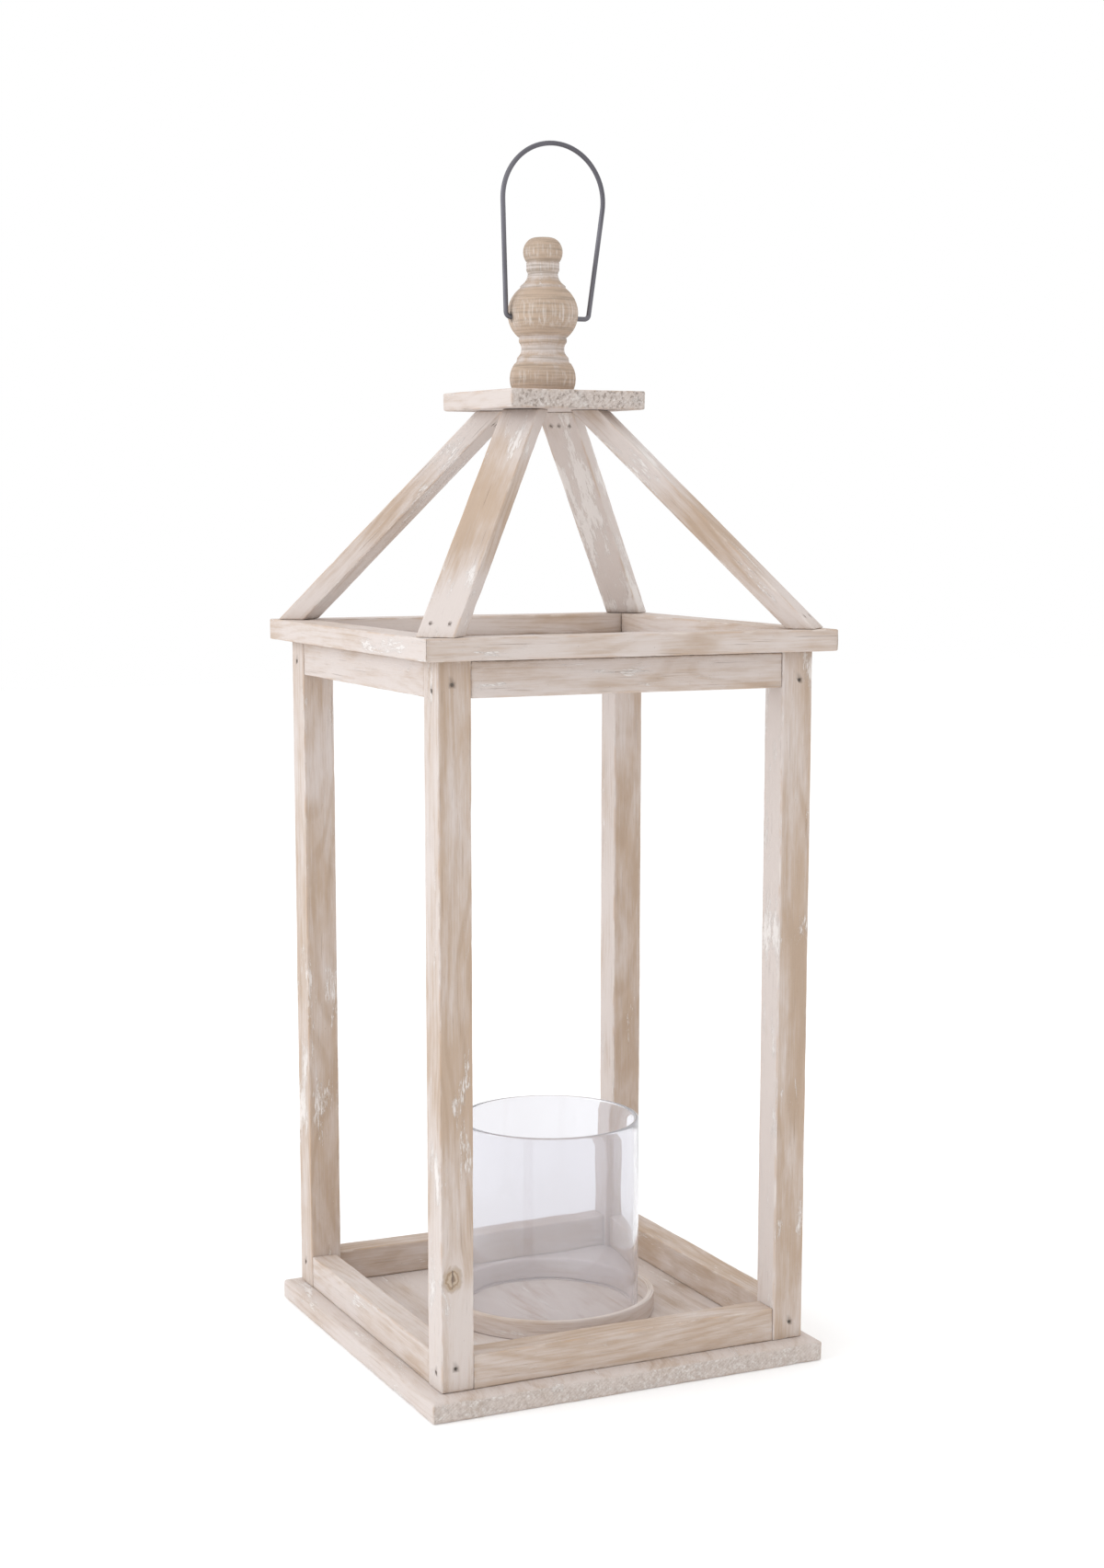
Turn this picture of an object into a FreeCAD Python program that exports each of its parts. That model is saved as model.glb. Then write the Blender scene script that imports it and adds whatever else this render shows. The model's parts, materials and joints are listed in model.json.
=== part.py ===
"""Hurricane candle lantern: a nailed wooden cage on a square base, with four sloping rafters,
a turned finial, a swinging wire bail and a glass cylinder that stands in a wooden ring.

Millimetres, +Z up. The origin is the centre of the base's underside. The front faces -Y.
Posts and rafters are called front_left, front_right, back_right and back_left.
"""
import FreeCAD, Part

import math
import os

from FreeCAD import Vector

# ---- driving dimensions ---------------------------------------------------------------
BASE_SIDE = 280.5          # square base board
BASE_THICK = 15.0
BASE_EDGE_Z = 12.0         # where the upright edge of the base turns into its sloping shoulder
BASE_SHOULDER = 9.0        # how far the shoulder runs in from the edge
BASE_EASE = 3.5            # rounding under the edge

POST_SPAN = 260.0          # outside to outside over two posts
POST_SIDE = 22.0
FRAME_Z = 472.0            # post tops, underside of the roof frame

RAIL_HEIGHT = 22.4
RAIL_THICK = 18.0
RAIL_SETBACK = 0.5         # rails sit a hair behind the faces of the posts
RAIL_TOP_GAP = 0.8         # shadow gap between the top rails and the roof frame

FRAME_SIDE = 284.0         # roof frame, outside
FRAME_BOARD = 24.0         # width of its boards
FRAME_THICK = 14.0

RAFTER_WIDTH = 25.0
RAFTER_THICK = 13.2
RAFTER_TOP_REACH = 42.3    # from the axis to the outer face, just under the cap
CAP_Z = 624.7              # underside of the cap plate
CAP_SIDE = 98.0
CAP_THICK = 12.0
CAP_TURN = 3.5             # the cap is nailed on a little askew, in degrees

BAIL_WIRE = 3.2
BAIL_AXIS_H = 47.6         # pivot height above the cap plate
BAIL_HALF = 29.5           # half the distance between the two upright legs at the pivot
BAIL_SHIFT = 3.3           # the bail has slid a little sideways in its holes
BAIL_ARCH = 35.8           # radius of the round top
BAIL_LEAN = 4.2            # the hand-bent top sits this far to the right of the two bends
BAIL_APEX_H = 158.1        # centre of the wire at the very top, above the cap plate
BAIL_BEND = 3.2            # centreline radius of the two bends into the finial
BAIL_PIN = 18.0            # length of each bent-in end
BAIL_HOLE = BAIL_WIRE + 0.16

GLASS_RADIUS = 62.0        # outside
GLASS_WALL = 3.0
GLASS_HEIGHT = 135.5
RING_RADIUS = 73.0         # outside
RING_WALL = 5.0
RING_HEIGHT = 13.5
RING_CENTRE = Vector(3.6, -1.7, 0.0)    # the ring was glued down slightly off centre

BRAD_SHANK = 1.5           # diameters and lengths of the nails and screws
BRAD_HEAD = 2.5
BRAD_HEAD_H = 1.0
BRAD_LENGTH = 38.0
BRAD_SINK = 0.4            # the heads are punched just under the surface
BRAD_STAGGER = 2.0
FRAME_NAIL = 1.8
FRAME_NAIL_LENGTH = 26.0
FRAME_NAIL_PLACES = ((120.0, 126.0), (126.0, 120.0))    # X and Y of the two in the back right corner
FOOT_NAIL = 2.0
FOOT_NAIL_INSET = 9.0      # from the outer edge of a rafter's foot
FOOT_NAIL_ACROSS = (-6.0, 6.5)      # driven by eye, so not quite even
FOOT_NAIL_SINK = 1.6       # below the sloping face
FOOT_NAIL_TIP = 3.0        # wood left under the tips
TOP_NAIL_BELOW = 9.5       # how far under the cap plate the nails enter a rafter
TOP_NAIL_ACROSS = (-7.0, 0.5, 6.0)
TOP_NAIL_SINK = 1.4
TOP_NAIL_TIP = 4.0         # wood left over the tips
SCREW_SHANK = 4.0
SCREW_HEAD = 8.0
SCREW_HEAD_H = 2.6
SCREW_SINK = 0.6           # the heads are driven just under the surface
BASE_SCREW_LENGTH = 42.0
BASE_SCREW_PLACE = 114.5   # from the axis in X and Y: inside the post, clear of the brads
FINIAL_SCREW_LENGTH = 38.0

CAP_EASE = 1.5             # rounding round the top of the cap plate
RING_EASE = 0.8            # worn rims of the ring and polished rims of the glass
GLASS_EASE = 0.6
BAIL_MOUTH = 3.0           # the bail's hole is countersunk this deep and this much wider
BAIL_MOUTH_REACH = 21.0    # from the axis to the narrow end of the countersink
OVERRUN = 2.0              # cutting tools run on this far through a face
SCREW_OVERRUN = 0.1

# ---- worked out from them -------------------------------------------------------------
POST_HALF = POST_SPAN / 2
RAIL_LENGTH = POST_SPAN - 2 * POST_SIDE
RAIL_CENTRE = POST_HALF - RAIL_SETBACK - RAIL_THICK / 2
BOTTOM_RAIL_Z = BASE_THICK
TOP_RAIL_Z = FRAME_Z - RAIL_TOP_GAP - RAIL_HEIGHT
FRAME_TOP = FRAME_Z + FRAME_THICK
FRAME_HALF = FRAME_SIDE / 2
CAP_TOP = CAP_Z + CAP_THICK
# the two outer corners of a rafter's foot lie on the outer edges of the roof frame
RAFTER_FOOT_REACH = FRAME_HALF * math.sqrt(2) - RAFTER_WIDTH / 2
RAFTER_RUN = RAFTER_FOOT_REACH - RAFTER_TOP_REACH
RAFTER_RISE = CAP_Z - FRAME_TOP
RAFTER_SLOPE = math.atan2(RAFTER_RISE, RAFTER_RUN)
RAFTER_CUT = RAFTER_THICK / math.sin(RAFTER_SLOPE)
BAIL_Z = CAP_TOP + BAIL_AXIS_H

UP = Vector(0, 0, 1)
DOWN = Vector(0, 0, -1)
SIDES = ["front", "right", "back", "left"]
CORNERS = ["front_left", "front_right", "back_right", "back_left"]
FRONT_LEFT_ANGLE = 225.0   # plan angle of the front left corner; the next ones follow every 90


def turned(shape, degrees):
    """A copy of the shape turned about the lantern's upright axis."""
    copy = shape.copy()
    copy.rotate(Vector(0, 0, 0), UP, degrees)
    return copy


def rod(start, direction, length, diameter):
    return Part.makeCylinder(diameter / 2, length, start, direction)


def slab(points, normal_length):
    """A flat polygon pushed along a vector."""
    face = Part.Face(Part.makePolygon(points + [points[0]]))
    return face.extrude(normal_length)


def brad(start, direction):
    """A nail with a small flat head; start is the middle of the top of its head."""
    head = rod(start, direction, BRAD_HEAD_H, BRAD_HEAD)
    shank = rod(start, direction, BRAD_LENGTH, BRAD_SHANK)
    return head.fuse(shank)


def screw(start, direction, length):
    """A countersunk wood screw; start is the middle of the face of its head."""
    head = Part.makeCone(SCREW_HEAD / 2, SCREW_SHANK / 2, SCREW_HEAD_H, start, direction)
    shank = rod(start, direction, length, SCREW_SHANK)
    return head.fuse(shank)


def sunk(start, direction, depth, diameter):
    """The short hole that is left above a fastener punched below the surface."""
    return rod(start - direction * depth, direction, depth, diameter)


# ---- fasteners ------------------------------------------------------------------------
def post_brads():
    """One brad through each post into each rail end: eight at the bottom, eight at the top."""
    brads = []
    holes = []
    heights = [BOTTOM_RAIL_Z + RAIL_HEIGHT * 0.6, TOP_RAIL_Z + RAIL_HEIGHT * 0.3]
    for quarter in range(4):
        for hand in (-1, 1):
            for z in heights:
                # driven along -Y into the back end of a side rail; the two brads that cross
                # inside a post pass at different heights
                place = Vector(hand * RAIL_CENTRE, POST_HALF - BRAD_SINK, z + BRAD_STAGGER * hand)
                inward = Vector(0, -1, 0)
                brads.append(turned(brad(place, inward), 90 * quarter))
                holes.append(turned(sunk(place, inward, BRAD_SINK, BRAD_HEAD), 90 * quarter))
    return brads, holes


def frame_nails():
    """Two upright nails at each corner hold the mitred boards down on the post."""
    nails = []
    for quarter in range(4):
        for x, y in FRAME_NAIL_PLACES:
            top = Vector(x, y, FRAME_TOP)
            nails.append(turned(rod(top, DOWN, FRAME_NAIL_LENGTH, FRAME_NAIL), 90 * quarter))
    return nails


def rafter_foot_nails():
    """Two upright nails through the foot of each rafter into the roof frame."""
    reach = RAFTER_FOOT_REACH - FOOT_NAIL_INSET
    surface_z = FRAME_TOP + FOOT_NAIL_INSET * math.tan(RAFTER_SLOPE)
    tip_z = FRAME_Z + FOOT_NAIL_TIP
    nails = []
    holes = []
    for corner in range(4):
        for across in FOOT_NAIL_ACROSS:
            tip = Vector(reach, across, tip_z)
            nail = rod(tip, UP, surface_z - FOOT_NAIL_SINK - tip_z, FOOT_NAIL)
            hole = rod(tip, UP, surface_z + OVERRUN - tip_z, FOOT_NAIL)
            nails.append(turned(nail, FRONT_LEFT_ANGLE + 90 * corner))
            holes.append(turned(hole, FRONT_LEFT_ANGLE + 90 * corner))
    return nails, holes


def rafter_top_nails():
    """Three nails from the inner face of each rafter up into the cap plate."""
    reach = RAFTER_TOP_REACH - RAFTER_CUT + TOP_NAIL_BELOW / math.tan(RAFTER_SLOPE)
    tip_z = CAP_TOP - TOP_NAIL_TIP
    run_out = 2 * OVERRUN
    nails = []
    holes = []
    for corner in range(4):
        for across in TOP_NAIL_ACROSS:
            base = Vector(reach, across, CAP_Z - TOP_NAIL_BELOW + TOP_NAIL_SINK)
            nail = rod(base, UP, tip_z - base.z, FRAME_NAIL)
            hole = rod(base - UP * run_out, UP, tip_z - base.z + run_out, FRAME_NAIL)
            nails.append(turned(nail, FRONT_LEFT_ANGLE + 90 * corner))
            holes.append(turned(hole, FRONT_LEFT_ANGLE + 90 * corner))
    return nails, holes


def base_screws():
    """One screw up through the base into the foot of each post."""
    screws = []
    for quarter in range(4):
        head = Vector(BASE_SCREW_PLACE, BASE_SCREW_PLACE, SCREW_SINK)
        screws.append(turned(screw(head, UP, BASE_SCREW_LENGTH), 90 * quarter))
    return screws


def finial_screw():
    return screw(Vector(0, 0, CAP_Z + SCREW_SINK), UP, FINIAL_SCREW_LENGTH)


# ---- wood -----------------------------------------------------------------------------
def base_edge_profile(half, length):
    """The base's cross-section, pushed to the given length along +Y."""
    shoulder = half - BASE_SHOULDER
    low = half - BASE_EASE
    corner = BASE_EASE * (1 - math.sqrt(0.5))
    points = [Vector(half, 0, BASE_EASE), Vector(half, 0, BASE_EDGE_Z),
              Vector(shoulder, 0, BASE_THICK), Vector(-shoulder, 0, BASE_THICK),
              Vector(-half, 0, BASE_EDGE_Z), Vector(-half, 0, BASE_EASE)]
    edges = [Part.makeLine(points[i], points[i + 1]) for i in range(5)]
    left = Part.Arc(Vector(-half, 0, BASE_EASE), Vector(-half + corner, 0, corner), Vector(-low, 0, 0))
    right = Part.Arc(Vector(low, 0, 0), Vector(half - corner, 0, corner), Vector(half, 0, BASE_EASE))
    edges.append(left.toShape())
    edges.append(Part.makeLine(Vector(-low, 0, 0), Vector(low, 0, 0)))
    edges.append(right.toShape())
    bar = Part.Face(Part.Wire(edges)).extrude(Vector(0, length, 0))
    bar.translate(Vector(0, -length / 2, 0))
    return bar


def base_board():
    half = BASE_SIDE / 2
    along = base_edge_profile(half, BASE_SIDE + OVERRUN)
    return along.common(turned(along, 90))


def post():
    """The back right post, square stock standing on the base."""
    corner = Vector(POST_HALF - POST_SIDE, POST_HALF - POST_SIDE, BASE_THICK)
    return Part.makeBox(POST_SIDE, POST_SIDE, FRAME_Z - BASE_THICK, corner)


def front_rail(bottom_z):
    corner = Vector(-RAIL_LENGTH / 2, -RAIL_CENTRE - RAIL_THICK / 2, bottom_z)
    return Part.makeBox(RAIL_LENGTH, RAIL_THICK, RAIL_HEIGHT, corner)


def front_frame_board():
    """One board of the roof frame, cut at 45 degrees at both ends."""
    outer = FRAME_HALF
    inner = FRAME_HALF - FRAME_BOARD
    points = [Vector(-outer, -outer, FRAME_Z), Vector(outer, -outer, FRAME_Z),
              Vector(inner, -inner, FRAME_Z), Vector(-inner, -inner, FRAME_Z)]
    return slab(points, Vector(0, 0, FRAME_THICK))


def rafter():
    """A rafter that leans from +X up to the axis; its ends are cut level."""
    foot = RAFTER_FOOT_REACH
    top = RAFTER_TOP_REACH
    side = -RAFTER_WIDTH / 2
    points = [Vector(foot, side, FRAME_TOP), Vector(top, side, CAP_Z),
              Vector(top - RAFTER_CUT, side, CAP_Z), Vector(foot - RAFTER_CUT, side, FRAME_TOP)]
    return slab(points, Vector(0, RAFTER_WIDTH, 0))


def cap_plate():
    half = CAP_SIDE / 2
    plate = Part.makeBox(CAP_SIDE, CAP_SIDE, CAP_THICK, Vector(-half, -half, CAP_Z))
    plate = plate.makeFillet(CAP_EASE, [edge for edge in plate.Edges if edge.BoundBox.ZMin > CAP_Z + CAP_EASE])
    return turned(plate, CAP_TURN)


def finial_outline():
    """Half section of the turned finial, as (radius, height) on the cap plate, bottom to top."""
    def at(radius, height):
        return Vector(radius, 0, CAP_TOP + height)

    def arc(first, middle, last):
        return Part.Arc(at(*first), at(*middle), at(*last)).toShape()

    def line(first, last):
        return Part.makeLine(at(*first), at(*last))

    return [line((0, 0), (19.8, 0)),
            arc((19.8, 0), (21.8, 9.0), (18.9, 17.8)),          # flat bun
            line((18.9, 17.8), (17.3, 20.0)),
            line((17.3, 20.0), (16.9, 22.4)),
            arc((16.9, 22.4), (14.15, 27.3), (15.4, 31.4)),     # lower neck
            line((15.4, 31.4), (15.8, 34.6)),
            arc((15.8, 34.6), (23.2, 50.0), (15.2, 66.4)),      # ball that holds the bail
            line((15.2, 66.4), (14.4, 68.2)),
            arc((14.4, 68.2), (11.0, 71.9), (10.0, 75.2)),      # upper neck
            line((10.0, 75.2), (10.9, 77.8)),
            line((10.9, 77.8), (10.9, 82.2)),
            arc((10.9, 82.2), (13.0, 88.8), (9.2, 97.0)),       # top knob
            arc((9.2, 97.0), (7.0, 98.1), (4.0, 98.5)),
            line((4.0, 98.5), (0, 98.5)),
            line((0, 98.5), (0, 0))]


def finial():
    body = Part.Face(Part.Wire(finial_outline())).revolve(Vector(0, 0, 0), UP, 360)
    body = turned(body, 90)    # keeps the seam of the turned surface away from the cross hole
    hole_start = Vector(-CAP_SIDE / 2, 0, BAIL_Z)
    body = body.cut(rod(hole_start, Vector(1, 0, 0), CAP_SIDE, BAIL_HOLE))
    for hand in (-1, 1):
        start = Vector(hand * BAIL_MOUTH_REACH, 0, BAIL_Z)
        mouth = Part.makeCone(BAIL_HOLE / 2, BAIL_HOLE / 2 + BAIL_MOUTH, BAIL_MOUTH, start,
                              Vector(hand, 0, 0))
        body = body.cut(mouth)
    return body


# ---- wire, glass and ring -------------------------------------------------------------
def bail_half_path(hand):
    """Right (1) or left (-1) half of the wire's centreline, from its end to the arch."""
    middle = Vector(BAIL_LEAN * hand, 0, CAP_TOP + BAIL_APEX_H - BAIL_ARCH)
    corner = Vector(BAIL_HALF, 0, BAIL_Z)
    to_corner = corner - middle
    distance = to_corner.Length
    # the leg touches the arch where the radius is square to it
    lean = math.acos(BAIL_ARCH / distance)
    bearing = math.atan2(to_corner.z, to_corner.x) + lean
    touch = middle + Vector(math.cos(bearing), 0, math.sin(bearing)) * BAIL_ARCH
    leg = (touch - corner).normalize()
    # the bend at the corner, tangent to the level pin and to the leg
    inward = Vector(-1, 0, 0)
    half_angle = inward.getAngle(leg) / 2
    setback = BAIL_BEND / math.tan(half_angle)
    pin_end = corner + inward * setback
    leg_start = corner + leg * setback
    bisector = (inward + leg).normalize()
    bend_centre = corner + bisector * (BAIL_BEND / math.sin(half_angle))
    bend_middle = bend_centre - bisector * BAIL_BEND
    tip = corner + inward * BAIL_PIN
    points = [tip, pin_end, bend_middle, leg_start, touch]
    return [Vector(p.x * hand, 0, p.z) for p in points]


def bail_handle():
    left = bail_half_path(-1)
    right = bail_half_path(1)
    apex = Vector(BAIL_LEAN, 0, CAP_TOP + BAIL_APEX_H)
    edges = [Part.makeLine(left[0], left[1]), Part.Arc(left[1], left[2], left[3]).toShape(),
             Part.makeLine(left[3], left[4]), Part.Arc(left[4], apex, right[4]).toShape(),
             Part.makeLine(right[4], right[3]), Part.Arc(right[3], right[2], right[1]).toShape(),
             Part.makeLine(right[1], right[0])]
    path = Part.Wire(edges)
    section = Part.Wire([Part.makeCircle(BAIL_WIRE / 2, left[0], Vector(-1, 0, 0))])
    wire = path.makePipeShell([section], True, False)
    wire.translate(Vector(BAIL_SHIFT, 0, 0))
    return wire


def tube(outer, wall, bottom_z, height, easing):
    """An upright open tube round the ring's centre, with its rims slightly eased."""
    inner = outer - wall
    top_z = bottom_z + height
    points = [Vector(inner, 0, bottom_z), Vector(outer, 0, bottom_z),
              Vector(outer, 0, top_z - easing), Vector(outer - easing, 0, top_z),
              Vector(inner + easing, 0, top_z), Vector(inner, 0, top_z - easing)]
    face = Part.Face(Part.makePolygon(points + [points[0]]))
    body = face.revolve(Vector(0, 0, 0), UP, 360)
    body.translate(RING_CENTRE)
    return body


def glass_ring():
    return tube(RING_RADIUS, RING_WALL, BASE_THICK, RING_HEIGHT, RING_EASE)


def glass_cylinder():
    return tube(GLASS_RADIUS, GLASS_WALL, BASE_THICK, GLASS_HEIGHT, GLASS_EASE)


# ---- assembly -------------------------------------------------------------------------
def drilled(shape, tools):
    """The shape with the holes for the fasteners that run through it."""
    near = [tool for tool in tools if tool.BoundBox.intersect(shape.BoundBox)]
    return shape.cut(near).Solids[0] if near else shape


def all_nodes():
    brads, brad_holes = post_brads()
    foot_nails, foot_holes = rafter_foot_nails()
    top_nails, top_holes = rafter_top_nails()
    frame_pins = frame_nails()
    feet = base_screws()
    centre_screw = finial_screw()

    mouth_depth = SCREW_SINK + SCREW_OVERRUN
    screw_holes = []
    for fastener in feet:
        middle = fastener.BoundBox.Center
        screw_holes.append(rod(Vector(middle.x, middle.y, -SCREW_OVERRUN), UP, mouth_depth, SCREW_HEAD))
    cap_mouth = rod(Vector(0, 0, CAP_Z - SCREW_OVERRUN), UP, mouth_depth, SCREW_HEAD)
    post_tools = brads + brad_holes + frame_pins + feet

    nodes = {"base_board": drilled(base_board(), feet + screw_holes)}
    for index, side in enumerate(SIDES):
        angle = 90 * index
        nodes["bottom_rail_" + side] = drilled(turned(front_rail(BOTTOM_RAIL_Z), angle), brads)
        nodes["top_rail_" + side] = drilled(turned(front_rail(TOP_RAIL_Z), angle), brads)
        board = turned(front_frame_board(), angle)
        nodes["roof_frame_" + side] = drilled(board, frame_pins + foot_nails)
    for index, corner in enumerate(CORNERS):
        nodes["post_" + corner] = drilled(turned(post(), 180 + 90 * index), post_tools)
        leaning = turned(rafter(), FRONT_LEFT_ANGLE + 90 * index)
        nodes["rafter_" + corner] = drilled(leaning, foot_holes + top_holes)
    nodes["cap_plate"] = drilled(cap_plate(), top_nails + [centre_screw, cap_mouth])
    nodes["finial"] = drilled(finial(), [centre_screw])
    nodes["glass_ring"] = glass_ring()
    nodes["glass_cylinder"] = glass_cylinder()
    nodes["bail_handle"] = bail_handle()
    nodes["post_brads"] = Part.makeCompound(brads)
    nodes["roof_frame_nails"] = Part.makeCompound(frame_pins)
    nodes["rafter_foot_nails"] = Part.makeCompound(foot_nails)
    nodes["rafter_top_nails"] = Part.makeCompound(top_nails)
    nodes["base_screws"] = Part.makeCompound(feet)
    nodes["finial_screw"] = centre_screw
    return nodes


os.makedirs("parts", exist_ok=True)
for name, shape in all_nodes().items():
    shape.exportStep("parts/" + name + ".step")
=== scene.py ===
"""The looks of a limewashed hurricane candle lantern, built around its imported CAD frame."""
import json
import math
import random

import bmesh
import bpy
import numpy as np
from mathutils import Matrix, Vector, noise


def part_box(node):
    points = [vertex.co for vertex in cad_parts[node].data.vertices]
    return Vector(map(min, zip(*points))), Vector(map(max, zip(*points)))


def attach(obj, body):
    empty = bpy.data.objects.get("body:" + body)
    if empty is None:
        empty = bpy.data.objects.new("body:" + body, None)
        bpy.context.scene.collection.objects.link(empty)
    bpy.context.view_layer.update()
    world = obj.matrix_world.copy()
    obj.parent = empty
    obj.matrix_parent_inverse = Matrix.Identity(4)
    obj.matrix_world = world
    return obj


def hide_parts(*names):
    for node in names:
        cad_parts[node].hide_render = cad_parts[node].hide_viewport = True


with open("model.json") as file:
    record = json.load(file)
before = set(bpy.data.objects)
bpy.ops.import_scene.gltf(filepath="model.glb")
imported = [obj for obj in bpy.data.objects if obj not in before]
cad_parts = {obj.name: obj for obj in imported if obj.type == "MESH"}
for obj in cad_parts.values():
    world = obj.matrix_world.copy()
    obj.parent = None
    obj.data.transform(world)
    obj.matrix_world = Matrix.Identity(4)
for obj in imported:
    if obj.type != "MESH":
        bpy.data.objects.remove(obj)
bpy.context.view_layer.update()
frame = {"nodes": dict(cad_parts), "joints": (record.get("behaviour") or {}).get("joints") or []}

MM = 0.001
SEED = 20
SIDES = ["front", "right", "back", "left"]
CORNERS = {"front_left": (-1, -1), "front_right": (1, -1), "back_right": (1, 1), "back_left": (-1, 1)}
LANTERN = "lantern"
X, Y, Z = Vector((1, 0, 0)), Vector((0, 1, 0)), Vector((0, 0, 1))

# the wire bail, in millimetres
BAIL_WIRE = 3.2
BAIL_HALF = 29.5              # half the distance between the two bends
BAIL_SHIFT = 3.3              # it has slid a little to the right in its hole
BAIL_RISE = 110.5             # from the pins up to the middle of the wire at the top
BAIL_ARCH = 35.8
BAIL_LEAN = 4.2
BAIL_BEND = 3.2
BAIL_PIN = 18.0

# camera, in metres and degrees
VIEW_AZIMUTH = 25.49          # it stands to the left of the front
VIEW_ELEVATION = 8.84
VIEW_ROLL = 0.08
VIEW_DISTANCE = 1.6786
VIEW_AIM = (0.01386, 0.3081)  # how far right of the axis, and how high, it aims
VIEW_LENS = 57.12
VIEW_SHIFT = (-0.0072, 0.0666)

# the ring and the glass, in millimetres
RING_WALL = 5.0
GLASS_WALL = 3.0

# linear colours
BARE = (0.485, 0.368, 0.282)        # bare wood
DEEP = (0.36, 0.255, 0.18)          # the dark side of its grain
WASH = (0.635, 0.568, 0.538)        # thin limewash
FLAKE = (0.78, 0.74, 0.715)         # thick white paint
GLASS_TINT = (0.852, 0.848, 0.880)

NO_KNOT = (30.0, 30.0, 1.0)         # a knot attribute that lies far outside every knot
CREASE = 40.0                       # edges sharper than this many degrees stay sharp


# ---- small tools
def piece_seed(name):
    """A random stream of its own for each piece, the same on every run."""
    return random.Random(SEED * 1000 + sum(ord(c) * (i + 3) for i, c in enumerate(name)))


def random_place(stream):
    return Vector([stream.uniform(-400, 400) for _ in range(3)])


def smooth_step(low, high, value):
    t = min(1.0, max(0.0, (value - low) / (high - low)))
    return t * t * (3 - 2 * t)


def soften(mesh, crease):
    """Smooth shading, with edges left sharp where the faces turn by more than the crease in degrees."""
    mesh.shade_smooth()
    mesh.set_sharp_from_angle(angle=math.radians(crease))


def make_piece(name, points, faces, node, body, slot, material, crease=CREASE):
    """A mesh object from points in metres, riding on a body in place of a CAD node."""
    mesh = bpy.data.meshes.new(name)
    mesh.from_pydata([tuple(p) for p in points], [], faces)
    mesh.validate()
    obj = bpy.data.objects.new(name, mesh)
    bpy.context.scene.collection.objects.link(obj)
    mesh.materials.append(material)
    soften(mesh, crease)
    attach(obj, body)
    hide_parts(node)
    return obj


def set_attribute(mesh, name, values, vector=False):
    kind = "FLOAT_VECTOR" if vector else "FLOAT"
    layer = mesh.attributes.new(name, kind, "POINT")
    key = "vector" if vector else "value"
    layer.data.foreach_set(key, np.asarray(values, np.float32).ravel())


def solids_in(node):
    """The corner points of each separate solid in a CAD node, in a fixed order."""
    bm = bmesh.new()
    bm.from_mesh(frame["nodes"][node].data)
    bmesh.ops.remove_doubles(bm, verts=bm.verts, dist=1e-6)
    unseen = set(bm.verts)
    solids = []
    while unseen:
        stack = [unseen.pop()]
        cloud = []
        while stack:
            vert = stack.pop()
            cloud.append(vert.co.copy())
            for edge in vert.link_edges:
                other = edge.other_vert(vert)
                if other in unseen:
                    unseen.remove(other)
                    stack.append(other)
        solids.append(np.array(cloud))
    bm.free()
    return sorted(solids, key=lambda cloud: tuple(np.round(cloud.mean(0), 5)))


def fasteners(node, head_end):
    """Each nail or screw in a node, as (middle of its head, direction driven, length, head radius)."""
    found = []
    for cloud in solids_in(node):
        low, high = cloud.min(0), cloud.max(0)
        axis = int(np.argmax(high - low))
        middle = (low + high) / 2
        at_high = middle[axis] > 0 if head_end == "outer" else head_end == "up"
        head = Vector(middle)
        head[axis] = high[axis] if at_high else low[axis]
        direction = Vector((0, 0, 0))
        direction[axis] = -1 if at_high else 1
        across = float((high - low)[(axis + 1) % 3])
        found.append((head, direction, float((high - low)[axis]), across / 2))
    return found


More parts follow.
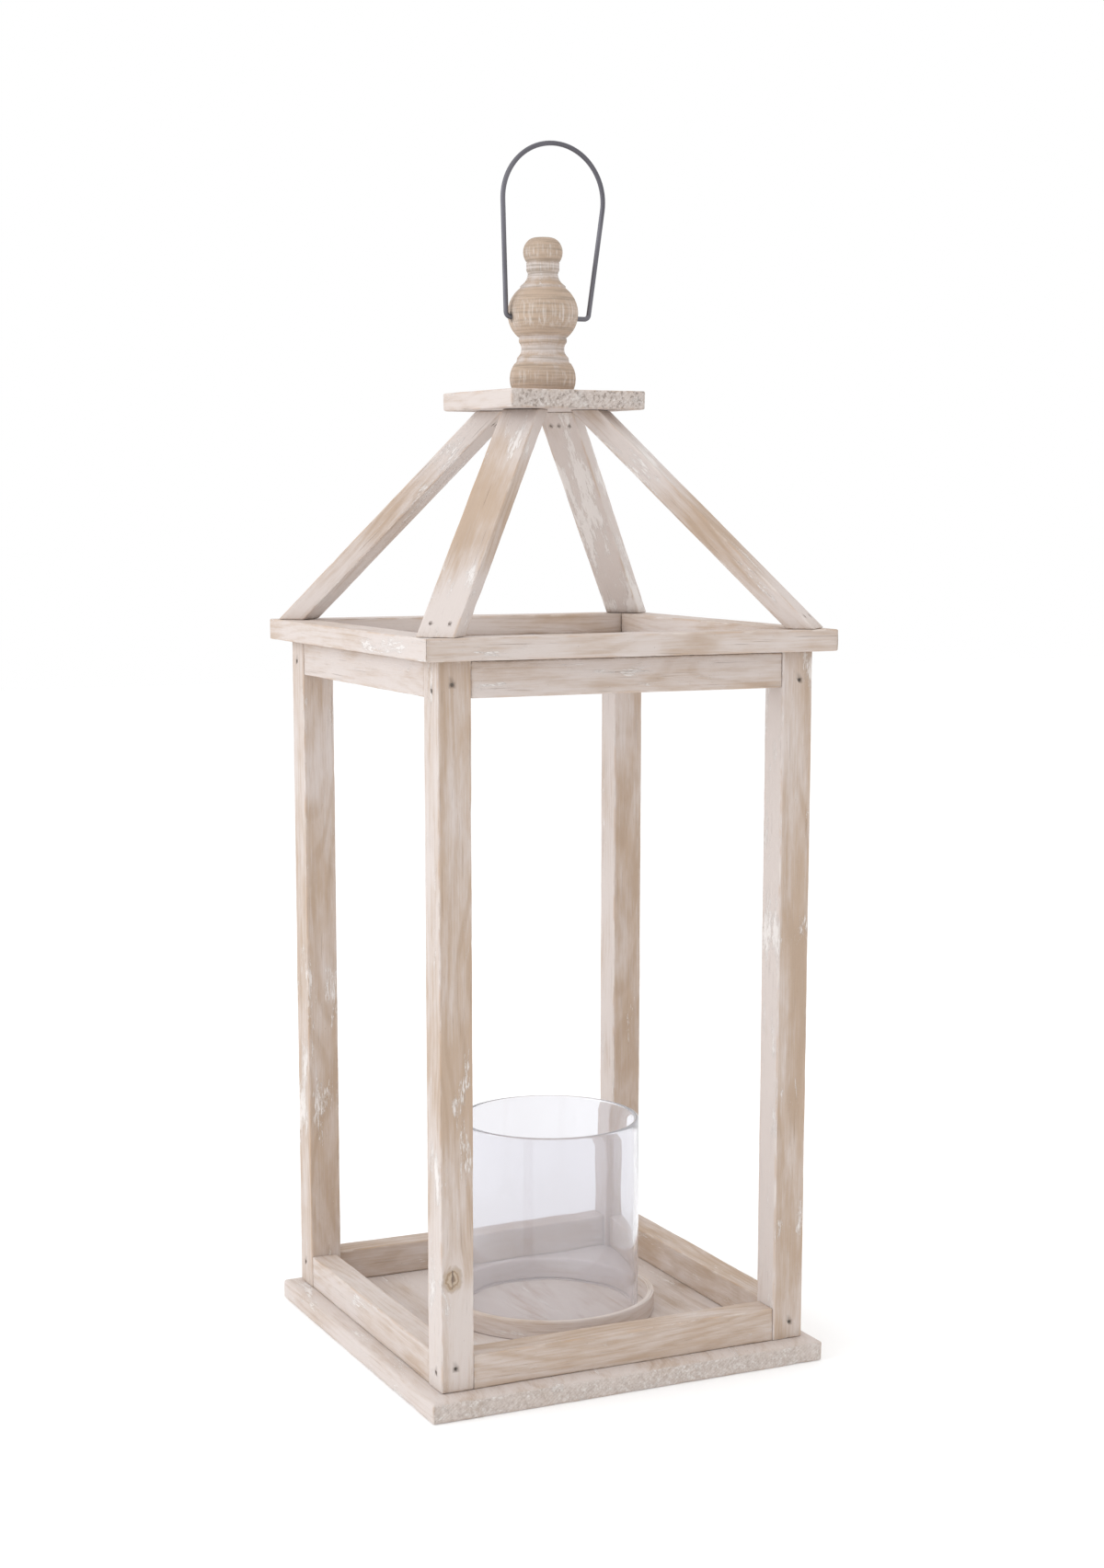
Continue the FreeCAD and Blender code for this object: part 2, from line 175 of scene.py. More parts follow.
# ---- shader helpers
class Shader:
    """Short calls for building one node material."""

    def __init__(self, name):
        self.material = bpy.data.materials.new(name)
        self.material.use_nodes = True
        self.tree = self.material.node_tree
        self.tree.nodes.clear()
        self.output = self.node("OutputMaterial")
        self.surface = self.node("BsdfPrincipled")
        self.link(self.surface.outputs[0], self.output.inputs["Surface"])

    def link(self, source, target):
        self.tree.links.new(source, target)

    def feed(self, socket, value):
        if isinstance(value, bpy.types.NodeSocket):
            self.link(value, socket)
        elif isinstance(value, tuple) and len(value) == 3 and socket.type == "RGBA":
            socket.default_value = (*value, 1.0)
        else:
            socket.default_value = value

    def node(self, kind, *values, **settings):
        """A new node with its settings made and its first inputs fed in order."""
        node = self.tree.nodes.new("ShaderNode" + kind)
        for name, value in settings.items():
            setattr(node, name, value)
        for socket, value in zip(node.inputs, values):
            self.feed(socket, value)
        return node

    def attribute(self, name, output="Fac"):
        return self.node("Attribute", attribute_name=name).outputs[output]

    def sum(self, *terms):
        """The total of values and of pairs to be multiplied."""
        first, *rest = [self.times(*term) if isinstance(term, tuple) else term for term in terms]
        for term in rest:
            first = self.math("ADD", first, term)
        return first

    def math(self, operation, a, b=0.0):
        return self.node("Math", a, b, operation=operation).outputs[0]

    def times(self, a, b):
        return self.math("MULTIPLY", a, b)

    def noise(self, vector, scale, detail=2.0, roughness=0.5):
        """Noise of a vector in millimetres; scale has one number for each axis."""
        stretched = self.node("VectorMath", vector, scale, operation="MULTIPLY")
        node = self.node("TexNoise", stretched.outputs[0])
        node.inputs["Scale"].default_value = 1.0
        node.inputs["Detail"].default_value = detail
        node.inputs["Roughness"].default_value = roughness
        return node.outputs["Fac"]

    def band(self, value, low, high, to_low=0.0, to_high=1.0):
        """A smooth step from to_low to to_high while value goes from low to high."""
        node = self.node("MapRange", value, low, high, to_low, to_high, interpolation_type="SMOOTHSTEP")
        return node.outputs["Result"]

    def mix(self, factor, a, b):
        node = self.node("Mix", factor, data_type="RGBA")
        self.feed(node.inputs[6], a)        # the two colour inputs
        self.feed(node.inputs[7], b)
        return node.outputs[2]

    def coat(self, under, mask, strength, colour):
        """A colour laid over another one where the mask says, at part of its strength."""
        return self.mix(self.times(mask, strength), under, colour)

    def parts(self, vector):
        return self.node("SeparateXYZ", vector).outputs

    def joined(self, x, y, z):
        return self.node("CombineXYZ", x, y, z).outputs[0]

    def bump(self, height, distance):
        node = self.node("Bump")
        node.inputs["Distance"].default_value = distance
        self.link(height, node.inputs["Height"])
        self.link(node.outputs[0], self.surface.inputs["Normal"])

    def set(self, **sockets):
        for name, value in sockets.items():
            self.feed(self.surface.inputs[name.replace("_", " ")], value)


def wood_material(name, wash_level=0.0, flake_level=0.0, ring_strength=0.2, pits=0.4, turned=False):
    """Pale wood under a thin uneven limewash, with thicker white paint left in the grain."""
    s = Shader(name)
    grain = s.attribute("grain", "Vector")
    knot_x, knot_y, knot_size = s.parts(s.attribute("knot", "Vector"))
    # the paint attribute is thin wash; on the left faces of the posts and on the back-right rafter it also
    # carries painted light
    paint = s.attribute("paint")
    wear = s.attribute("wear")
    end = s.attribute("end")

    # fibres flow round a knot, like water round a post
    knot_square = s.sum((knot_x, knot_x), (knot_y, knot_y))
    knot_radius = s.math("SQRT", knot_square)
    shift = s.math("DIVIDE", s.times(knot_y, knot_size), s.math("MAXIMUM", knot_square, 1.0))
    along, across, through = s.parts(grain)
    flow = s.joined(along, s.math("SUBTRACT", across, shift), through)

    fibre = s.noise(flow, (0.030, 0.85, 0.85), detail=3.0, roughness=0.6)
    hair = s.noise(flow, (0.12, 3.2, 3.2), detail=2.0)
    cloud = s.noise(flow, (0.014, 0.045, 0.045), detail=4.0, roughness=0.6)
    drift = s.noise(flow, (0.006, 0.028, 0.028), detail=1.0)
    speck = s.noise(flow, (0.5, 0.9, 0.9), detail=2.0, roughness=0.6)

    # growth rings: flat sawn, so that they run out in long pointed arches
    depth = s.sum((through, 0.20), (across, 0.06), (drift, 8.0))
    rings = s.band(s.math("SINE", s.times(depth, 6.2832)), -0.2, 1.0)

    shade = s.sum((rings, ring_strength), (hair, 0.35), (fibre, 0.45), -0.28)
    wood = s.mix(s.math("MAXIMUM", shade, 0.0), BARE, DEEP)

    cover = s.sum((cloud, 1.8), (fibre, 0.8), (hair, 0.5), (paint, 0.9),
                  (rings, -0.12), (end, 0.25), wash_level - 1.02)
    cover = s.band(cover, 0.0, 1.0)
    colour = s.coat(wood, cover, 0.92, WASH)

    # paint that stayed thick, in short streaks along the grain with ragged ends
    flake_place = s.noise(flow, (0.022, 0.10, 0.10), detail=2.0)
    flake_grain = s.noise(flow, (0.15, 0.95, 0.95), detail=5.0, roughness=0.75)
    flake = s.sum(flake_place, (flake_grain, 0.9), (paint, 0.10), s.attribute("flakes"),
                  flake_level)
    flake = s.band(flake, 1.17, 1.24)
    colour = s.coat(colour, flake, 0.75, FLAKE)

    # end grain drinks the wash unevenly and keeps its saw marks and pits
    crumb = s.noise(flow, (0.9, 0.36, 0.36), detail=5.0, roughness=0.8)
    patch = s.band(s.noise(flow, (0.05, 0.05, 0.12), detail=2.0), 0.40, 0.60)
    saw = s.math("SINE", s.sum((across, 1.9), (through, 2.6), (drift, 14.0)))
    pit = s.times(end, s.band(crumb, 0.545, 0.64))
    chalk = s.times(s.times(end, s.band(crumb, 0.52, 0.42)), s.sum(0.35, (patch, 0.65)))
    colour = s.coat(colour, chalk, 0.9, FLAKE)
    colour = s.coat(colour, pit, pits, (0.29, 0.235, 0.20))
    colour = s.mix(s.times(end, s.band(saw, 0.3, 1.0, 0.0, 0.16)), colour, (0.34, 0.27, 0.22))

    # rubbed arrises show bare warm wood, here and there a line of white
    rub_place = s.noise(flow, (0.05, 0.2, 0.2), detail=3.0)
    rub = s.times(wear, s.band(rub_place, 0.44, 0.60))
    colour = s.coat(colour, rub, 0.55, (0.52, 0.36, 0.24))
    ridge = s.times(wear, s.band(rub_place, 0.46, 0.36))
    colour = s.coat(colour, ridge, 0.45, (0.78, 0.71, 0.65))

    # hairline checks and dark pores
    check = s.band(s.noise(flow, (0.020, 1.9, 1.9), detail=2.0), 0.69, 0.76)
    pores = s.band(speck, 0.68, 0.78)
    dark = s.math("MAXIMUM", s.times(check, 0.45), s.times(pores, 0.30))
    colour = s.mix(dark, colour, (0.21, 0.155, 0.12))

    # the knot: a few uneven rings round a warm heart that has split across
    warp = s.noise(s.joined(knot_x, knot_y, 0.0), (1.6, 1.6, 1.6), detail=3.0)
    uneven = s.sum(knot_radius, (warp, 0.9), -0.45)
    knot_wave = s.math("SINE", s.times(uneven, 11.0))
    knot_wood = s.mix(s.band(knot_wave, -0.4, 1.0), (0.47, 0.37, 0.27), (0.30, 0.205, 0.125))
    knot_wood = s.mix(s.band(uneven, 0.45, 0.15), knot_wood, (0.20, 0.13, 0.08))
    split = s.times(s.band(s.math("ABSOLUTE", s.sum(knot_y, (warp, 0.5), -0.25)), 0.10, 0.03),
                    s.band(knot_radius, 0.95, 0.75))
    knot_wood = s.mix(split, knot_wood, (0.11, 0.07, 0.045))
    colour = s.mix(s.times(s.band(uneven, 1.15, 0.75), 0.85), colour, knot_wood)
    halo = s.times(s.band(uneven, 0.75, 1.0), s.band(uneven, 1.35, 1.05))
    colour = s.coat(colour, halo, 0.45, (0.33, 0.24, 0.16))

    height = s.sum((fibre, 0.5), (hair, 0.3), (flake, 0.45),
                   (dark, -1.2), (rings, 0.12), (pit, -2.0 * pits), (chalk, 0.5))
    if turned:
        # faint lathe lines, and brush strokes of white that caught on the widest parts
        lines = s.noise(grain, (0.9, 0.02, 0.02), detail=4.0, roughness=0.75)
        colour = s.mix(s.band(lines, 0.44, 0.66, 0.0, 0.70), colour, (0.27, 0.215, 0.165))
        brush = s.noise(grain, (0.03, 0.80, 0.80), detail=3.0)
        reach = s.noise(grain, (0.14, 0.30, 0.30), detail=1.0)
        stroke = s.times(s.attribute("stroke"), s.band(brush, 0.44, 0.70))
        stroke = s.times(stroke, s.band(reach, 0.28, 0.62))
        colour = s.coat(colour, stroke, 0.55, (0.74, 0.69, 0.65))
        height = s.sum(height, (lines, -0.6), (stroke, 0.4))

    # rust and dirt round the nails; darker brown towards the board ends, and a painted gap shadow along seams
    # that meet another board
    stain = s.times(s.attribute("stain"), s.band(hair, 0.2, 0.7, 0.6, 1.0))
    colour = s.mix(stain, colour, (0.15, 0.12, 0.10))
    end_dark_and_gap_shade = s.times(s.attribute("joint"), s.band(speck, 0.3, 0.6, 0.25, 1.0))
    colour = s.coat(colour, end_dark_and_gap_shade, 0.27, (0.34, 0.26, 0.19))

    s.bump(height, 0.22 * MM)
    s.set(Base_Color=colour, Roughness=s.sum(0.66, (hair, 0.16), (flake, 0.12)), IOR=1.45,
          Specular_IOR_Level=0.35)
    return s.material


def glass_material():
    """Glass with a breath of lilac and a thin white veil, smudged and seeded; lamps shine through it."""
    s = Shader("clear_glass")
    grain = s.attribute("grain", "Vector")
    smudge = s.noise(grain, (0.012, 0.03, 0.03), detail=4.0, roughness=0.7)
    seeds = s.band(s.noise(grain, (0.35, 0.35, 0.35), detail=1.0), 0.76, 0.82)
    s.bump(s.times(seeds, 0.4), 0.05 * MM)
    # painted sheen: the 11 to 14 % of white diffuse that the transmission weight leaves is a veil standing in
    # for the glass's soft reflections
    s.set(Base_Color=GLASS_TINT, Roughness=s.band(smudge, 0.50, 0.80, 0.0, 0.06), IOR=1.40,
          Transmission_Weight=s.band(smudge, 0.35, 0.75, 0.89, 0.86))
    clear = s.node("BsdfTransparent", (0.97, 0.97, 0.97)).outputs[0]
    path = s.node("LightPath")
    seen = s.surface.outputs[0]
    for ray in ("Is Diffuse Ray", "Is Shadow Ray"):
        seen = s.node("MixShader", path.outputs[ray], seen, clear).outputs[0]
    s.link(seen, s.output.inputs["Surface"])
    return s.material


def steel_material(name, dark, light, rust, roughness):
    """Drawn steel: fine lines along the wire, dull patches and a little rust."""
    s = Shader(name)
    grain = s.attribute("grain", "Vector")
    lines = s.noise(grain, (0.02, 0.9, 0.9), detail=2.0)
    patch = s.noise(grain, (0.03, 0.12, 0.12), detail=2.0)
    colour = s.mix(s.band(patch, 0.35, 0.7), dark, light)
    rusty = s.times(s.band(patch, 0.62, 0.72), rust)
    colour = s.mix(rusty, colour, (0.17, 0.085, 0.04))
    s.set(Base_Color=colour, Roughness=s.sum(roughness, (patch, 0.2)), Metallic=0.8)
    s.bump(s.sum((lines, 0.7), (patch, 0.5)), 0.008 * MM)
    return s.material


# ---- timber
def stations(half, coarse, near_edge=(0.0, 0.35, 0.8, 1.5, 2.6)):
    """Places from -half to half, close together at both ends and evenly spaced between."""
    inner = half - near_edge[-1] - coarse * 0.6
    count = max(1, round(2 * inner / coarse))
    low = [-half + step for step in near_edge]
    middle = [-inner + 2 * inner * i / count for i in range(count + 1)]
    return low + middle + [-place for place in reversed(low)]


def lattice_shell(xs, ys, zs):
    """The points and quads that cover a box of lattice planes."""
    counts = (len(xs), len(ys), len(zs))
    number = {}
    points = []

    def point(place):
        key = (place[0], place[1], place[2])
        if key not in number:
            number[key] = len(points)
            points.append(Vector((xs[key[0]], ys[key[1]], zs[key[2]])))
        return number[key]

    faces = []
    for axis in range(3):
        second, third = (axis + 1) % 3, (axis + 2) % 3
        for layer in (0, counts[axis] - 1):
            for u in range(counts[second] - 1):
                for w in range(counts[third] - 1):
                    ring = [(u, w), (u + 1, w), (u + 1, w + 1), (u, w + 1)]
                    if layer == 0:
                        ring.reverse()
                    faces.append([point({axis: layer, second: a, third: b}) for a, b in ring])
    return points, faces


def worn_point(point, half, offset, rounding, chips):
    """Where a point of the sharp box lies once the arrises are rubbed and the faces uneven."""
    broad = noise.noise(point * 0.035 + offset)
    fine = noise.noise(point * 0.16 + offset)
    radius = rounding * (1.0 + 0.55 * broad + 0.4 * fine)
    for where, size, depth in chips:
        radius += depth * math.exp(-((point - where).length / size) ** 2)
    radius = min(max(radius, 0.25), min(half) * 0.9)
    inner = Vector([max(-h + radius, min(h - radius, p)) for p, h in zip(point, half)])
    out = (point - inner).normalized()
    dip = 0.10 + 0.09 * noise.noise(Vector((point.x * 0.02, point.y * 0.09, point.z * 0.09)) + offset)
    return inner + out * (radius - dip)


def chip_list(stream, half, count):
    """Bruises on the long arrises, as (place, size, extra rounding), in millimetres."""
    chips = []
    for _ in range(count):
        where = Vector((stream.uniform(-half.x, half.x),
                        stream.choice((-1, 1)) * half.y, stream.choice((-1, 1)) * half.z))
        if stream.random() < half.y / (half.x + half.y):
            where.x = math.copysign(half.x, where.x)
            where.y = stream.uniform(-half.y, half.y)
        chips.append((where, stream.uniform(2.5, 7.0), stream.uniform(0.4, 1.4)))
    return chips


def cut_craters(obj, matrix, heads):
    """Cuts a small round crater at each punched nail head that lies in the piece."""
    cutter = bmesh.new()
    inverse = matrix.inverted()
    for head, direction, _, radius in heads:
        turn = facing(direction)
        middle = inverse @ Matrix.Translation(head - direction * 1.2 * MM) @ turn
        bmesh.ops.create_cone(cutter, cap_ends=True, segments=20, radius1=radius * 1.35,
                              radius2=radius + 0.08 * MM, depth=2.6 * MM, matrix=middle)
    subtract(obj, cutter)


def inside_box(point, half, margin):
    return all(abs(p) < h + margin for p, h in zip(point, half))


def timber(node, matrix, half, material, slot, slants=((0, 0), (0, 0)), rounding=0.9,
           coarse=(4.0, 2.6, 2.6), nails=(), knots=(), paint=(), flakes=(), left_painted_light=0.0, shape=None,
           joint_reach=5.0, seams=(), bruises=None):
    """One wooden part: a worn, slightly uneven bar, mitred or bevelled as slants says.

    matrix takes local metres to the frame: x runs along the grain. half is in millimetres. Each slant
    is how far an end plane moves along x for each millimetre of y and of z. knots are (x, y, radius) on
    the z faces. paint and flakes are (place along the grain from 0 to 1, spread, amount) for thin wash
    and for thick paint, and left_painted_light is more thin wash on the face towards -y: painted light
    that makes the side turned to the key lamp brighter. seams are the y sides that meet another board,
    along which a painted gap shadow runs.
    """
    stream = piece_seed(node)
    offset = random_place(stream)
    chips = chip_list(stream, half, bruises or max(2, round(half.x / 45)))
    points, faces = lattice_shell(stations(half.x, coarse[0]), stations(half.y, coarse[1]),
                                  stations(half.z, coarse[2]))
    local = []
    for point in points:
        place = worn_point(point, half, offset, rounding, chips)
        if shape:
            place = shape(place)
        share = (point.x + half.x) / (2 * half.x)
        low, high = (slope[0] * place.y + slope[1] * place.z for slope in slants)
        place.x += low * (1 - share) + high * share
        local.append(place * MM)

    obj = make_piece("limed_" + node, local, faces, node, LANTERN, slot, material)
    inverse = matrix.inverted()
    mine = [nail for nail in nails if inside_box(inverse @ nail[0] / MM, half, 1.0)]
    if mine:
        cut_craters(obj, matrix, mine)
    dress_timber(obj.data, half, slants, offset, stream, knots, paint, flakes,
                 [(inverse @ nail[0] / MM, nail[3] / MM) for nail in mine], joint_reach, seams, left_painted_light)
    soften(obj.data, CREASE)
    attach(obj, LANTERN)
    obj.matrix_world = matrix


def zone_sum(zones, share):
    """The total at one place of soft zones given as (place, spread, amount)."""
    return sum(amount * math.exp(-((share - place) / spread) ** 2) for place, spread, amount in zones)


def dress_timber(mesh, half, slants, offset, stream, knots, paint, flakes, nail_places, joint_reach, seams,
                 left_painted_light):
    """The attributes that the wood material reads: grain, wear, paint, knots, stains and joints."""
    tone = stream.uniform(-0.10, 0.10)
    looks = {name: [] for name in ("grain", "knot", "wear", "paint", "flakes", "stain", "joint", "end")}
    for vert in mesh.vertices:
        p = vert.co / MM
        looks["grain"].append(p + offset)
        share = min(1.0, max(0.0, (p.x + half.x) / (2 * half.x)))
        to_end = min(half.x - sign * (p.x - slope[0] * p.y - slope[1] * p.z)
                     for sign, slope in ((-1, slants[0]), (1, slants[1])))
        gaps = sorted((max(0.0, to_end), max(0.0, half.y - abs(p.y)), max(0.0, half.z - abs(p.z))))
        looks["wear"].append(math.exp(-(math.hypot(gaps[0], gaps[1]) / 1.1) ** 2))
        # darker towards the ends of the board
        joint_dark_and_gap_shade = math.exp(-(max(0.0, to_end) / joint_reach) ** 2)
        # painted gap shadow: a dark line along each long edge that meets another board
        for side in seams:          # a long edge that meets another board
            joint_dark_and_gap_shade = max(joint_dark_and_gap_shade, 2.4 * math.exp(-((half.y - side * p.y) / 1.2) ** 2))
        looks["joint"].append(joint_dark_and_gap_shade)
        looks["end"].append(1.0 - smooth_step(0.25, 0.7, to_end))
        # painted light: more wash on the face turned to the key lamp, so that side reads brighter
        on_left = smooth_step(-half.y + 1.6, -half.y + 0.4, p.y) if left_painted_light else 0.0
        looks["paint"].append(tone + zone_sum(paint, share) + left_painted_light * on_left)
        looks["flakes"].append(zone_sum(flakes, share))
        nearest = NO_KNOT
        for x, y, radius in knots:
            away = ((p.x - x) / radius / 1.35, (p.y - y) / radius, radius)
            if math.hypot(away[0], away[1]) < math.hypot(nearest[0], nearest[1]):
                nearest = away
        looks["knot"].append(nearest)
        closest = min([(p - place).length - size for place, size in nail_places], default=99.0)
        looks["stain"].append(0.8 * (1.0 - smooth_step(0.0, 0.9, closest)))
    for name, values in looks.items():
        set_attribute(mesh, name, values, vector=name in ("grain", "knot"))


def axes_matrix(origin, along, across, through):
    matrix = Matrix((along, across, through)).transposed().to_4x4()
    matrix.translation = origin
    return matrix


def straight_timber(node, along, across, **looks):
    """A timber whose CAD node is a box along the frame's axes."""
    low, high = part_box(node)
    through = along.cross(across)
    size = (high - low) / MM
    half = Vector([abs(size.dot(axis)) / 2 for axis in (along, across, through)])
    matrix = axes_matrix((low + high) / 2, along, across, through)
    timber(node, matrix, half, **looks)


# ---- turned, wound and wire parts
def lathe(profile, segments, wobble=None):
    """Points and faces of a closed turned solid; profile runs from the axis to the axis as (r, z)."""
    points = [Vector((0, 0, profile[0][1]))]
    for radius, z in profile[1:-1]:
        for step in range(segments):
            angle = 2 * math.pi * step / segments
            r = radius if wobble is None else wobble(radius, angle, z)
            points.append(Vector((r * math.cos(angle), r * math.sin(angle), z)))
    points.append(Vector((0, 0, profile[-1][1])))
    rings = len(profile) - 2
    faces = []
    for step in range(segments):
        after = (step + 1) % segments
        faces.append([0, 1 + after, 1 + step])
        for ring in range(rings - 1):
            a = 1 + ring * segments
            b = a + segments
            faces.append([a + step, a + after, b + after, b + step])
        last = 1 + (rings - 1) * segments
        faces.append([last + step, last + after, len(points) - 1])
    return points, faces


def hoop(section, segments, bend):
    """Points and faces of a closed (r, z) section carried round the axis; bend places each (r, z, angle)."""
    points = []
    count = len(section)
    for step in range(segments):
        angle = 2 * math.pi * step / segments
        for radius, z in section:
            radius, z = bend(radius, z, angle)
            points.append(Vector((radius * math.cos(angle), radius * math.sin(angle), z)))
    faces = []
    for step in range(segments):
        after = (step + 1) % segments
        for i in range(count):
            j = (i + 1) % count
            faces.append([step * count + i, step * count + j, after * count + j, after * count + i])
    return points, faces


def arc_through(a, b, c, spacing):
    """Points from a to c on the circle through a, b and c, without a itself."""
    d = 2 * (a[0] * (b[1] - c[1]) + b[0] * (c[1] - a[1]) + c[0] * (a[1] - b[1]))
    squares = [p[0] ** 2 + p[1] ** 2 for p in (a, b, c)]
    cx = (squares[0] * (b[1] - c[1]) + squares[1] * (c[1] - a[1]) + squares[2] * (a[1] - b[1])) / d
    cy = (squares[0] * (c[0] - b[0]) + squares[1] * (a[0] - c[0]) + squares[2] * (b[0] - a[0])) / d
    radius = math.dist((cx, cy), a)
    angles = [math.atan2(p[1] - cy, p[0] - cx) for p in (a, b, c)]
    turn = (angles[2] - angles[0]) % (2 * math.pi)
    if (angles[1] - angles[0]) % (2 * math.pi) > turn:
        turn -= 2 * math.pi
    count = max(2, round(abs(turn) * radius / spacing))
    steps = [angles[0] + turn * i / count for i in range(1, count + 1)]
    return [(cx + radius * math.cos(t), cy + radius * math.sin(t)) for t in steps]


def turned_attributes(mesh, offset, paint_of=None, stain_of=None, wrap_radius=None, stroke_of=None):
    """The wood attributes of a turned or wound part; the fibres run upright, or round when wrapped."""
    grain, painted, stain = [], [], []
    for vert in mesh.vertices:
        p = vert.co / MM
        if wrap_radius:
            angle = math.atan2(p.y, p.x)
            spot = Vector((angle * wrap_radius, math.hypot(p.x, p.y), p.z))
        else:
            spot = Vector((p.z, p.x, p.y))
        grain.append(spot + offset)
        painted.append(paint_of(p) if paint_of else 0.0)
        stain.append(stain_of(p) if stain_of else 0.0)
    count = len(mesh.vertices)
    set_attribute(mesh, "grain", grain, vector=True)
    set_attribute(mesh, "knot", [NO_KNOT] * count, vector=True)
    for name in ("wear", "joint", "end", "flakes"):
        set_attribute(mesh, name, [0.0] * count)
    if stroke_of:
        set_attribute(mesh, "stroke", [stroke_of(vert.co / MM) for vert in mesh.vertices])
    set_attribute(mesh, "paint", painted)
    set_attribute(mesh, "stain", stain)


def finial_profile():
    """The turned outline in millimetres above the cap plate, as (radius, height)."""
    line = [(0.0, 0.0), (10.0, 0.0), (18.9, 0.0), (19.6, 0.5)]
    line += arc_through((19.6, 0.5), (21.7, 9.0), (18.9, 17.7), 0.9)
    line += [(18.6, 18.2), (17.9, 18.6), (17.3, 19.4), (17.1, 20.6), (16.9, 22.0), (16.3, 22.6)]
    line += arc_through((16.3, 22.6), (14.1, 27.3), (15.0, 31.0), 0.9)
    line += [(15.5, 31.5), (15.75, 32.6), (15.7, 33.8), (15.3, 34.3), (15.6, 34.8)]
    line += arc_through((15.6, 34.8), (23.1, 50.0), (15.2, 66.1), 0.9)
    line += [(14.9, 66.7), (15.0, 67.3), (14.4, 68.1), (13.9, 68.4)]
    line += arc_through((13.9, 68.4), (10.8, 71.9), (9.95, 75.2), 0.9)
    line += [(10.1, 76.2), (10.6, 77.0), (10.85, 77.8), (10.8, 79.9), (10.85, 82.0), (10.6, 82.5),
             (10.9, 83.0)]
    line += arc_through((10.9, 83.0), (12.95, 88.8), (9.2, 96.9), 0.8)
    line += arc_through((9.2, 96.9), (7.0, 98.0), (4.0, 98.35), 0.8)
    line += [(2.0, 98.4), (0.0, 98.4)]
    return line


def build_finial(material):
    low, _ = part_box("finial")
    offset = random_place(piece_seed("finial"))

    def wobble(radius, angle, z):
        spot = Vector((math.cos(angle) * 1.3, math.sin(angle) * 1.3, z / MM * 0.10))
        cut = 0.03 * math.sin(z / MM * 5.2)          # the faint ridges left by the gouge
        return radius - (0.10 + 0.09 * noise.noise(spot + offset) + cut) * MM * min(1.0, radius / (6 * MM))

    profile = [(r * MM, low.z + z * MM) for r, z in finial_profile()]
    points, faces = lathe(profile, 112, wobble)
    obj = make_piece("turned_finial", points, faces, "finial", LANTERN, "finial_wood", material)
    pivot = Vector(frame["joints"][0]["pos_m"])
    holes = [(Vector((side * 22.9 * MM, 0, pivot.z)), Vector((-side, 0, 0)), 0, 1.9 * MM)
             for side in (-1, 1)]
    cut_craters(obj, Matrix.Identity(4), holes)
    bore_through(obj, pivot)

    necks = [(20.5, 2.4), (27.3, 3.8), (34.3, 1.6), (67.2, 1.4), (74.5, 3.6), (80.0, 3.0)]
    bellies = [(8.5, 4.5), (49.0, 8.5), (79.5, 2.6), (89.5, 4.0)]

    def paint_of(p):
        height = p.z - low.z / MM
        return -0.48 + max(0.80 * math.exp(-((height - middle) / spread) ** 2) for middle, spread in necks)

    def stroke_of(p):
        height = p.z - low.z / MM
        return max(math.exp(-((height - middle) / spread) ** 4) for middle, spread in bellies)

    def stain_of(p):
        away = min((p - hole[0] / MM).length for hole in holes)
        return 1.0 - smooth_step(2.2, 4.5, away)

    turned_attributes(obj.data, offset, paint_of, stain_of, stroke_of=stroke_of)
    soften(obj.data, 50)


def facing(direction):
    """The turn that points +Z along a direction."""
    return direction.to_track_quat("Z", "Y").to_matrix().to_4x4()


def bore_through(obj, pivot):
    """Drills the level hole that carries the two ends of the bail."""
    drill = bmesh.new()
    turn = facing(X)
    bmesh.ops.create_cone(drill, cap_ends=True, segments=24, radius1=1.75 * MM, radius2=1.75 * MM,
                          depth=60 * MM, matrix=Matrix.Translation(pivot) @ turn)
    subtract(obj, drill)


def subtract(obj, cutter):
    """Takes a bmesh away from an object's mesh, for good."""
    mesh = bpy.data.meshes.new("cutter")
    cutter.to_mesh(mesh)
    cutter.free()
    tool = bpy.data.objects.new("cutter", mesh)
    bpy.context.scene.collection.objects.link(tool)
    modifier = obj.modifiers.new("cut", "BOOLEAN")
    modifier.operation = "DIFFERENCE"
    modifier.solver = "EXACT"
    modifier.object = tool
    bpy.context.view_layer.update()
    evaluated = obj.evaluated_get(bpy.context.evaluated_depsgraph_get())
    cut = bpy.data.meshes.new_from_object(evaluated)
    if not cut.polygons:
        raise RuntimeError(f"cutting left nothing of {obj.name}")
    obj.modifiers.clear()
    old = obj.data
    obj.data = cut
    bpy.data.meshes.remove(old)
    bpy.data.objects.remove(tool)
    bpy.data.meshes.remove(mesh)


